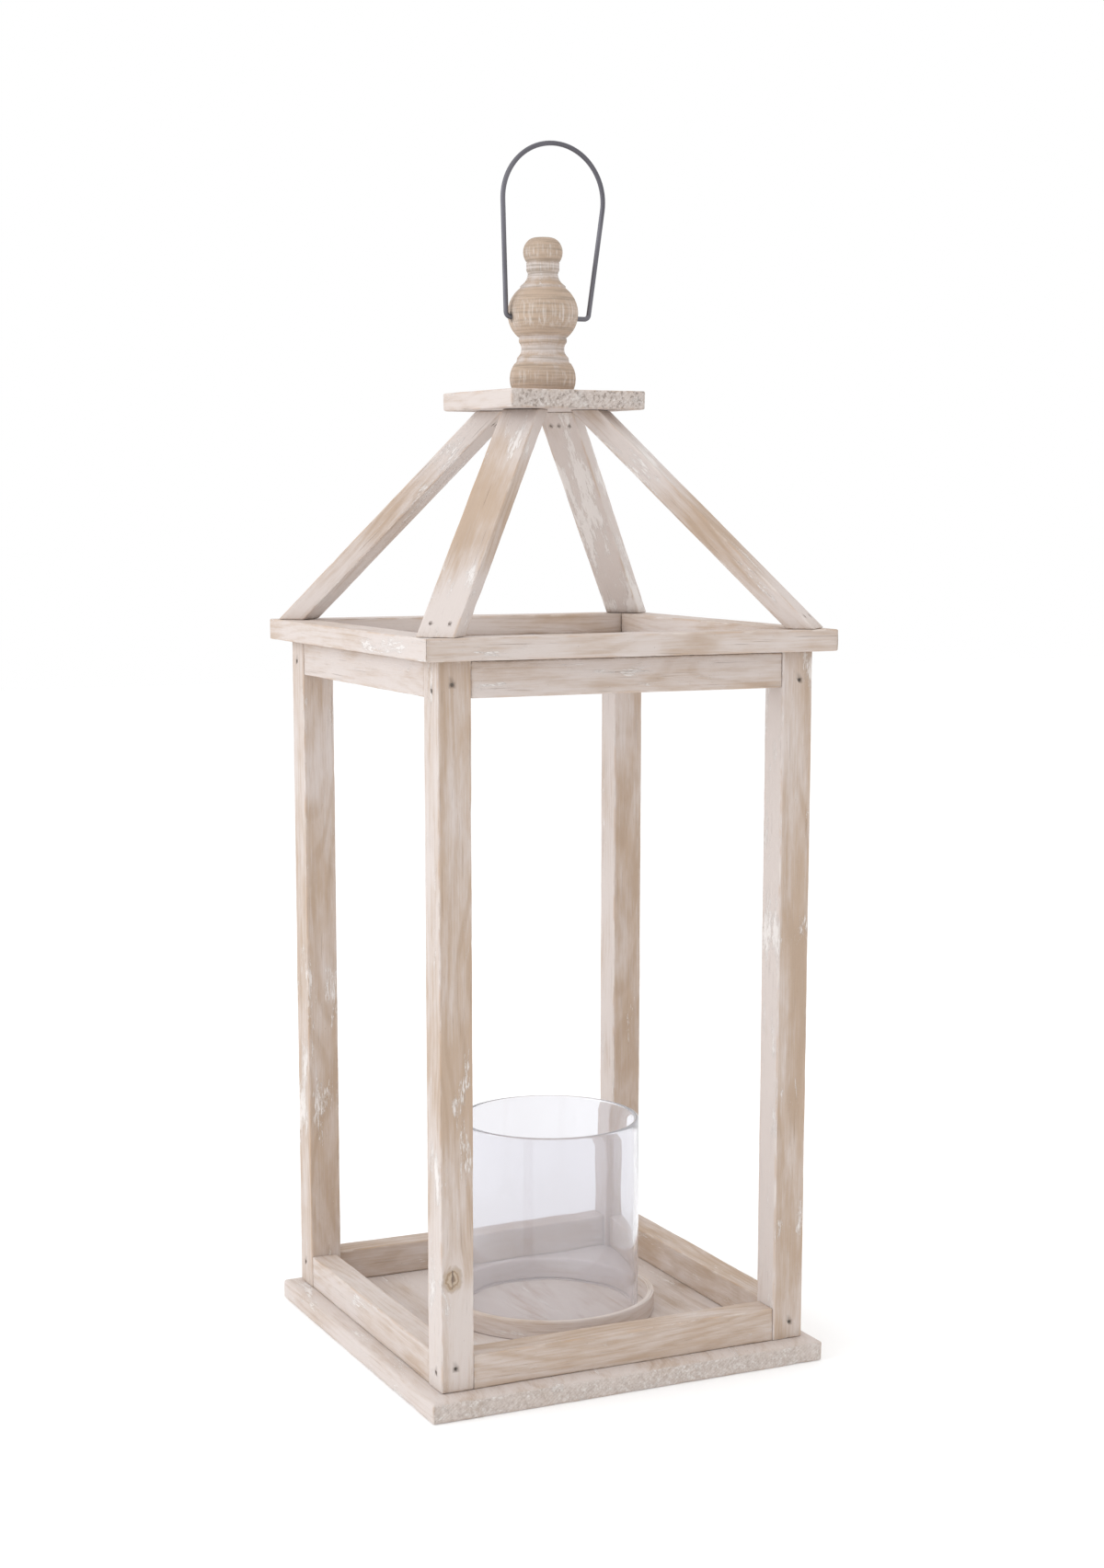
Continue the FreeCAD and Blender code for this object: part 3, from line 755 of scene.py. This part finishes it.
def build_ring(material):
    """A strip of wood bent round on itself: a spiral joint shows in the rim and ends in a scarf."""
    low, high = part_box("glass_ring")
    centre = Vector(((low.x + high.x) / 2, (low.y + high.y) / 2, 0))
    outer = (high.x - low.x) / 2 / MM
    wall = RING_WALL
    height = (high.z - low.z) / MM
    base = low.z / MM
    offset = random_place(piece_seed("glass_ring"))
    inner = outer - wall
    levels = [height * k / 6 for k in range(1, 6)]
    section = [(inner + 0.6, 0.0), (inner, 0.5)] + [(inner, z) for z in levels]
    section += [(inner + inset, height - drop) for inset, drop in (
        (0.15, 0.8), (0.6, 0.15), (1.3, 0), (2.15, 0),
        (2.3, 0.15), (2.4, 0.9), (2.6, 0.9), (2.7, 0.15),      # the groove between the two turns
        (2.85, 0), (wall - 1.2, 0), (wall - 0.5, 0.15), (wall - 0.1, 0.8))]
    section += [(outer, z) for z in reversed(levels)] + [(outer, 0.5), (outer - 0.6, 0.0)]

    def bend(radius, z, angle):
        turn = (angle / (2 * math.pi) + 0.08) % 1.0
        inset = radius - inner
        if 0.8 < inset < wall - 0.8:
            radius += (turn - 0.5) * 2.2         # the joint between the two turns drifts outwards
        spot = Vector((math.cos(angle), math.sin(angle), 0)) * 1.6 + offset
        dip = 0.10 + 0.09 * noise.noise(spot + Vector((0, 0, z * 0.1)))
        radius += dip if inset < wall / 2 else -dip
        scarf = math.exp(-((turn - 0.985) / 0.006) ** 2)
        if inset > wall - 0.6:
            radius -= 0.55 * scarf
        if z > height - 1:
            z -= 0.12 + 0.10 * noise.noise(spot * 1.7)
        return radius * MM, (base + z) * MM

    points, faces = hoop(section, 200, bend)
    obj = make_piece("bent_wood_ring", points, faces, "glass_ring", LANTERN, "ring_wood", material)
    turned_attributes(obj.data, offset, lambda p: -0.1, wrap_radius=outer)
    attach(obj, LANTERN)
    obj.matrix_world = Matrix.Translation(centre)


def build_glass(material):
    """A cut and fire-polished cylinder, hand-blown enough to be a little uneven."""
    low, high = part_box("glass_cylinder")
    centre = Vector(((low.x + high.x) / 2, (low.y + high.y) / 2, 0))
    outer = (high.x - low.x) / 2 / MM
    wall = GLASS_WALL
    base = low.z / MM
    height = (high.z - low.z) / MM
    offset = random_place(piece_seed("glass_cylinder"))
    steps = 36
    inner_side = [(outer - wall, height * k / steps) for k in range(1, steps)]
    outer_side = [(outer, height * k / steps) for k in range(steps - 1, 0, -1)]
    middle, round_off = outer - wall / 2, 0.5 * wall
    half_turn = [math.pi * i / 10 for i in range(11)]
    rim = [(middle + round_off * math.cos(t), height - round_off + round_off * math.sin(t))
           for t in reversed(half_turn)]
    foot = [(middle + round_off * math.cos(t), round_off - round_off * math.sin(t)) for t in half_turn]
    section = inner_side[1:-1] + rim + outer_side[1:-1] + foot

    def bend(radius, z, angle):
        spot = Vector((math.cos(angle) * 0.8, math.sin(angle) * 0.8, z * 0.012)) + offset
        sway = 0.16 + 0.15 * noise.noise(spot)
        ripple = 0.05 * noise.noise(spot * 3.0) * (1 if radius > middle else -1)
        return (radius - sway + ripple) * MM, (base + z) * MM

    points, faces = hoop(section, 160, bend)
    obj = make_piece("glass_chimney", points, faces, "glass_cylinder", "glass", "clear_glass", material, 60)
    turned_attributes(obj.data, offset)
    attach(obj, "glass")
    obj.matrix_world = Matrix.Translation(centre)


def tube_mesh(path, radius, segments=20):
    """A closed round wire along a list of points in the X-Z plane, with rounded ends."""
    points, faces, marks = [], [], []
    length = 0.0
    count = len(path)
    for i, centre in enumerate(path):
        before, after = path[max(0, i - 1)], path[min(count - 1, i + 1)]
        along = (after - before).normalized()
        side = along.cross(Y).normalized()
        if i:
            length += (centre - path[i - 1]).length
        for step in range(segments):
            angle = 2 * math.pi * step / segments
            points.append(centre + (side * math.cos(angle) + Y * math.sin(angle)) * radius(i, count, length))
            marks.append((length / MM, math.cos(angle) * 1.6, math.sin(angle) * 1.6))
    for i in range(count - 1):
        for step in range(segments):
            after = (step + 1) % segments
            a, b = i * segments, (i + 1) * segments
            faces.append([a + step, b + step, b + after, a + after])
    faces.append(list(range(segments)))
    faces.append([(count - 1) * segments + step for step in reversed(range(segments))])
    return points, faces, marks


def build_bail(material):
    """The round wire along its centreline, slightly dented, with a drawn wire's finish."""
    path = bail_path()
    offset = random_place(piece_seed("bail_handle"))

    def radius(i, count, length):
        end = min(i, count - 1 - i)
        taper = (0.55, 0.85, 0.97)[end] if end < 3 else 1.0
        dent = 0.03 * noise.noise(Vector((length / MM * 0.08, 0, 0)) + offset)
        return (BAIL_WIRE / 2 - 0.03 + dent) * MM * taper

    points, faces, marks = tube_mesh(path, radius)
    obj = make_piece("wire_bail", points, faces, "bail_handle", "bail", "bail_steel", material, 60)
    set_attribute(obj.data, "grain", [Vector(mark) + offset for mark in marks], vector=True)


def bail_side(hand):
    """One side of the wire's centreline, in millimetres from the middle of its two bends.

    Returns the level pin, the bend and the leg up to the round top, then the bearing where it joins that.
    """
    middle = Vector((BAIL_LEAN * hand, 0, BAIL_RISE - BAIL_ARCH))
    corner = Vector((BAIL_HALF, 0, 0))
    to_corner = corner - middle
    bearing = math.atan2(to_corner.z, to_corner.x) + math.acos(BAIL_ARCH / to_corner.length)
    touch = middle + Vector((math.cos(bearing), 0, math.sin(bearing))) * BAIL_ARCH
    inward, leg = -X, (touch - corner).normalized()
    half_angle = inward.angle(leg) / 2
    setback = BAIL_BEND / math.tan(half_angle)
    centre = corner + (inward + leg).normalized() * (BAIL_BEND / math.sin(half_angle))
    start, end = corner + inward * setback, corner + leg * setback
    line = [(corner + inward * BAIL_PIN).lerp(start, i / 6) for i in range(7)]
    line += [centre + (start - centre).slerp(end - centre, i / 10) * BAIL_BEND for i in range(1, 11)]
    line += [end.lerp(touch, i / 24) for i in range(1, 25)]
    return [Vector((p.x * hand, 0, p.z)) for p in line], bearing


def bail_path():
    """The wire's centreline in metres, from the end of the left pin to the end of the right one."""
    left, left_bearing = bail_side(-1)
    right, right_bearing = bail_side(1)
    middle = Vector((BAIL_LEAN, 0, BAIL_RISE - BAIL_ARCH))
    first, last = math.pi - left_bearing, right_bearing
    arch = [first + (last - first) * i / 48 for i in range(1, 48)]
    top = [middle + Vector((math.cos(t), 0, math.sin(t))) * BAIL_ARCH for t in arch]
    _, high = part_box("bail_handle")
    pivot = Vector((BAIL_SHIFT * MM, 0, high.z - (BAIL_RISE + BAIL_WIRE / 2) * MM))
    return [pivot + p * MM for p in left + top + list(reversed(right))]


def build_fasteners(node, head_end, shank, head, material, slot, name, screw):
    """Nails with a slightly domed head, or screws with a cross recess, where the CAD has them."""
    all_points, all_faces, all_grain = [], [], []
    offset = random_place(piece_seed(node))
    for centre, direction, length, _ in fasteners(node, head_end):
        profile = fastener_profile(shank * MM, head * MM, length, screw)
        points, faces = lathe(profile, 20)
        turn = facing(direction)
        place = Matrix.Translation(centre) @ turn
        start = len(all_points)
        all_points += [place @ point for point in points]
        all_grain += [point / MM + offset + centre * 400 for point in points]
        all_faces += [[start + i for i in face] for face in faces]
    obj = make_piece(name, all_points, all_faces, node, LANTERN, slot, material)
    set_attribute(obj.data, "grain", all_grain, vector=True)
    if screw:
        cut_recesses(obj, node, head_end)


def fastener_profile(shank, head, length, screw):
    """Half section from the head's face (z = 0) to the tip (z = length)."""
    if screw:
        line = [(0, 0.02 * MM), (head * 0.7, 0.0), (head - 0.15 * MM, 0.02 * MM), (head, 0.2 * MM),
                (shank + 0.2 * MM, 2.5 * MM), (shank * 0.8, 3.2 * MM)]
        pitch = 1.8 * MM
        z = 8 * MM
        while z < length - 4 * MM:
            line += [(shank * 0.7, z), (shank, z + pitch * 0.45), (shank * 0.7, z + pitch * 0.9)]
            z += pitch
        return line + [(shank * 0.6, length - 3 * MM), (0.2 * MM, length - 0.1 * MM), (0, length)]
    if head > shank:
        line = [(0, 0.0), (head * 0.6, 0.04 * MM), (head * 0.9, 0.15 * MM), (head, 0.35 * MM),
                (head * 0.96, 0.8 * MM), (shank * 1.1, 1.0 * MM), (shank, 1.4 * MM)]
    else:
        line = [(0, 0.0), (shank * 0.7, 0.05 * MM), (shank * 0.97, 0.25 * MM), (shank, 0.6 * MM)]
    return line + [(shank, length / 2), (shank, length - 2 * MM),
                   (0.15 * MM, length - 0.05 * MM), (0, length)]


def cut_recesses(obj, node, head_end):
    """Sinks a cross recess into each screw head."""
    for centre, direction, _, _ in fasteners(node, head_end):
        turn = facing(direction)
        for width, depth in ((4.2, 1.0), (1.0, 4.2)):
            slot = bmesh.new()      # one bar at a time, because the cutter may not cross itself
            size = Matrix.Diagonal((width * MM, depth * MM, 2.4 * MM, 1))
            bmesh.ops.create_cube(slot, size=1.0, matrix=Matrix.Translation(centre) @ turn @ size)
            subtract(obj, slot)


# ---- the lantern
brads = fasteners("post_brads", "outer")
foot_nails = fasteners("rafter_foot_nails", "up")
top_nails = fasteners("rafter_top_nails", "down")

post_wood = wood_material("limed_post_wood")
rail_wood = wood_material("limed_rail_wood", wash_level=-0.04)
frame_wood = wood_material("limed_frame_wood", wash_level=0.10)
rafter_wood = wood_material("limed_rafter_wood", wash_level=0.12)
base_wood = wood_material("limed_base_wood", wash_level=0.28, flake_level=0.05, ring_strength=0.4, pits=0.25)
cap_wood = wood_material("limed_cap_wood", wash_level=0.28, flake_level=0.04, pits=0.6)
finial_wood = wood_material("turned_wood", ring_strength=0.0, turned=True)
ring_wood = wood_material("bent_wood", wash_level=0.35, ring_strength=0.15)
bail_steel = steel_material("drawn_steel", (0.13, 0.125, 0.142), (0.18, 0.175, 0.195), 0.0, 0.40)
nail_steel = steel_material("nail_steel", (0.09, 0.08, 0.07), (0.17, 0.15, 0.13), 0.6, 0.5)
screw_steel = steel_material("zinc_steel", (0.30, 0.30, 0.29), (0.50, 0.50, 0.48), 0.1, 0.35)

# paint and flakes as timber() takes them; the posts run upwards and the rafters down to their feet
# left_painted_light is painted light: extra wash that brightens each post's face turned to the key lamp
POST_LOOKS = {
    "front_left": {"paint": [(0.02, 0.10, 0.40), (0.12, 0.05, 0.30), (0.45, 0.16, -0.50), (1.0, 0.25, -0.10)],
                   "flakes": [(0.31, 0.035, 0.17), (0.42, 0.05, 0.12), (0.14, 0.03, 0.10)],
                   "left_painted_light": 0.45, "knots": [(-155.0, -3.3, 5.4)]},
    "front_right": {"paint": [(0.95, 0.15, 0.15), (0.45, 0.3, -0.25)],
                    "flakes": [(0.60, 0.035, 0.20), (0.97, 0.04, 0.08)], "left_painted_light": 0.90},
    "back_right": {"paint": [(0.5, 0.4, -0.15)], "left_painted_light": 0.60},
    "back_left": {"paint": [(0.90, 0.15, 0.30), (0.40, 0.35, -0.15)],
                  "flakes": [(0.30, 0.08, 0.22), (0.48, 0.07, 0.17), (0.93, 0.06, 0.08)], "left_painted_light": 0.10},
}
RAIL_PAINT = {"top_rail_front": 0.25, "top_rail_left": 0.35, "bottom_rail_left": 0.15,
              "bottom_rail_front": -0.05, "bottom_rail_right": -0.15}
OTHER_RAIL_PAINT = 0.05


def build_posts():
    for corner, looks in POST_LOOKS.items():
        straight_timber("post_" + corner, Z, X, material=post_wood, slot="post_wood", nails=brads,
                        rounding=0.8, **looks)


def build_rails():
    for level in ("bottom", "top"):
        for side in SIDES:
            along = X if side in ("front", "back") else Y
            node = f"{level}_rail_{side}"
            # seams put a painted gap shadow along the bottom rails' lower edge and the top rails' upper edge
            straight_timber(node, along, Z, material=rail_wood, slot="rail_wood", rounding=1.0,
                            paint=[(0.5, 2.0, RAIL_PAINT.get(node, OTHER_RAIL_PAINT))], joint_reach=2.0,
                            seams=(-1,) if level == "bottom" else (1,))


def build_roof_frame():
    turns = {"front": (X, Y), "right": (Y, -X), "back": (-X, -Y), "left": (-Y, X)}
    bright = {"front": -0.1, "right": 0.2, "back": 0.5, "left": 0.65}
    for side, (along, across) in turns.items():
        node = "roof_frame_" + side
        low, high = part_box(node)
        size = (high - low) / MM
        half = Vector((abs(size.dot(along)), abs(size.dot(across)), size.z)) / 2
        half.x -= half.y            # the mitres run in by half a board's width at the middle
        matrix = axes_matrix((low + high) / 2, along, across, along.cross(across))
        timber(node, matrix, half, frame_wood, "frame_wood", slants=((1, 0), (-1, 0)), rounding=1.0,
               paint=[(0.9, 0.35, bright[side])], joint_reach=2.0)


def build_rafters():
    # the back-right rafter stands in shade inside the roof: its strong wash and wide flakes are painted light
    # that brighten it
    paint = {"front_left": [(0.05, 0.22, 0.75), (0.50, 0.24, -0.65), (0.95, 0.18, 0.45)],
             "front_right": [(0.75, 0.15, 0.45), (0.45, 0.13, -0.45), (0.1, 0.15, 0.15)],
             "back_right": [(0.5, 0.8, 0.75)],
             "back_left": [(0.10, 0.2, 0.45), (0.50, 0.2, -0.25), (0.85, 0.15, 0.35)]}
    flakes = {"front_left": [(0.80, 0.10, 0.12), (0.25, 0.08, 0.10)],
              "front_right": [(0.78, 0.12, 0.20), (0.25, 0.10, 0.12)],
              "back_right": [(0.5, 0.8, 0.20)],
              "back_left": [(0.68, 0.18, 0.18), (0.20, 0.12, 0.12)]}
    for corner, (sx, sy) in CORNERS.items():
        node = "rafter_" + corner
        outward = Vector((sx, sy, 0)).normalized()
        sideways = Z.cross(outward)
        cloud = [v.co for v in frame["nodes"][node].data.vertices]
        low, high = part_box(node)
        foot = [p.dot(outward) for p in cloud if p.z < low.z + MM]
        head = [p.dot(outward) for p in cloud if p.z > high.z - MM]
        wide = [p.dot(sideways) for p in cloud]
        along = (outward * (max(head) - max(foot)) + Z * (high.z - low.z)).normalized()
        out = sideways.cross(along)
        middle = outward * (max(head) + min(foot)) / 2 + Z * (low.z + high.z) / 2
        thick = (max(foot) - min(foot)) * along.z
        half = Vector(((high.z - low.z) / along.z, max(wide) - min(wide), thick)) / 2 / MM
        slope = -out.z / along.z
        matrix = axes_matrix(middle, along, out.cross(along), out)
        timber(node, matrix, half, rafter_wood, "rafter_wood", slants=((0, slope), (0, slope)),
               nails=foot_nails + top_nails, paint=paint[corner], flakes=flakes[corner], rounding=1.0)


def build_base():
    low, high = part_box("base_board")
    half = Vector((high.y - low.y, high.x - low.x, high.z - low.z)) / 2 / MM
    shoulder_run, shoulder_drop = 9.0, 3.0
    sink_start = -4.0               # the slope is already under way at the edge

    def shape(p):
        """Lowers the top towards the edges, so that it slopes off outside the posts."""
        run = min(half.x - abs(p.x), half.y - abs(p.y))
        drop = shoulder_drop * (1 - smooth_step(sink_start, shoulder_run, run))
        share = (p.z + half.z) / (2 * half.z)
        p.z -= drop * share
        return p

    matrix = axes_matrix((low + high) / 2, Y, -X, Z)
    timber("base_board", matrix, half, base_wood, "base_wood", rounding=1.6, coarse=(5.0, 5.0, 2.4),
           shape=shape, joint_reach=1.0, bruises=40)


def build_cap():
    low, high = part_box("cap_plate")
    cloud = [v.co for v in frame["nodes"]["cap_plate"].data.vertices if v.co.z < low.z + MM]
    rightmost = max(cloud, key=lambda p: p.x)
    reach = Vector((rightmost.x, rightmost.y))
    turn = math.atan2(reach.y, reach.x) + math.radians(45)
    side = reach.length / math.sqrt(2)
    half = Vector((side, side, (high.z - low.z) / 2)) / MM
    along = Vector((-math.sin(turn), math.cos(turn), 0))
    matrix = axes_matrix(Vector((0, 0, (low.z + high.z) / 2)), along, Z.cross(along), Z)
    timber("cap_plate", matrix, half, cap_wood, "cap_wood", rounding=1.3, coarse=(3.0, 3.0, 2.4),
           joint_reach=1.0, bruises=16)


build_posts()
build_rails()
build_roof_frame()
build_rafters()
build_base()
build_cap()
build_finial(finial_wood)
build_ring(ring_wood)
build_glass(glass_material())
build_bail(bail_steel)

# CAD node, end that has the head, radius of shank and of head in millimetres, slot, piece
for node, head_end, shank, head, slot, name in (
        ("post_brads", "outer", 0.75, 1.25, "nail_steel", "wire_brads"),
        ("roof_frame_nails", "up", 0.9, 0.9, "nail_steel", "frame_nails"),
        ("rafter_foot_nails", "up", 1.0, 1.0, "nail_steel", "foot_nails"),
        ("rafter_top_nails", "down", 0.9, 0.9, "nail_steel", "top_nails"),
        ("base_screws", "down", 2.0, 4.0, "screw_steel", "foot_screws"),
        ("finial_screw", "down", 2.0, 4.0, "screw_steel", "centre_screw")):
    is_screw = slot == "screw_steel"
    steel = screw_steel if is_screw else nail_steel
    build_fasteners(node, head_end, shank, head, steel, slot, name, is_screw)


# ---- stage, light and camera
def build_stage():
    mesh = bpy.data.meshes.new("floor")
    reach = 6.0                     # metres from the lantern to the floor's edges
    mesh.from_pydata([(-reach, -reach, 0), (reach, -reach, 0), (reach, reach, 0), (-reach, reach, 0)], [],
                     [(0, 1, 2, 3)])
    floor = bpy.data.objects.new("floor", mesh)
    bpy.context.scene.collection.objects.link(floor)
    paper = Shader("pale_floor")
    paper.set(Base_Color=(0.92, 0.92, 0.92), Roughness=0.9, Emission_Color=(1.0, 1.0, 1.0),
              Emission_Strength=0.10)
    mesh.materials.append(paper.material)

    world = bpy.data.worlds.new("studio")
    bpy.context.scene.world = world
    world.use_nodes = True
    sky = world.node_tree.nodes["Background"]
    sky.inputs["Color"].default_value = (1.0, 1.0, 1.0, 1.0)
    sky.inputs["Strength"].default_value = 1.0


def soft_light(name, place, aim, size, power, colour):
    data = bpy.data.lights.new(name, "AREA")
    data.color = colour
    data.shape = "SQUARE"
    data.size = size
    data.energy = power
    light = bpy.data.objects.new(name, data)
    light.location = place
    light.rotation_euler = (Vector(aim) - Vector(place)).to_track_quat("-Z", "Y").to_euler()
    bpy.context.scene.collection.objects.link(light)


def build_camera():
    azimuth, elevation, roll = (math.radians(a) for a in (VIEW_AZIMUTH, VIEW_ELEVATION, VIEW_ROLL))
    forward = Vector((math.sin(azimuth) * math.cos(elevation), math.cos(azimuth) * math.cos(elevation),
                      -math.sin(elevation)))
    right = Vector((math.cos(azimuth), -math.sin(azimuth), 0))
    up = right.cross(forward)
    rolled_right = right * math.cos(roll) + up * math.sin(roll)
    rolled_up = up * math.cos(roll) - right * math.sin(roll)
    aim = right * VIEW_AIM[0] + Z * VIEW_AIM[1]
    data = bpy.data.cameras.new("camera")
    data.sensor_width = 36
    data.lens = VIEW_LENS
    data.shift_x, data.shift_y = VIEW_SHIFT
    data.clip_end = 50
    camera = bpy.data.objects.new("camera", data)
    camera.matrix_world = axes_matrix(aim - forward * VIEW_DISTANCE, rolled_right, rolled_up, -forward)
    bpy.context.scene.collection.objects.link(camera)
    bpy.context.scene.camera = camera


build_stage()
soft_light("key_left", (-2.6, 0.1, 1.3), (0, 0, 0.35), 1.6, 24.5, (0.90, 0.955, 1.0))
soft_light("top_soft", (-0.3, -0.2, 2.6), (0, 0, 0.3), 2.0, 7, (1.0, 1.0, 1.0))
build_camera()
bpy.context.scene.view_settings.view_transform = "Standard"
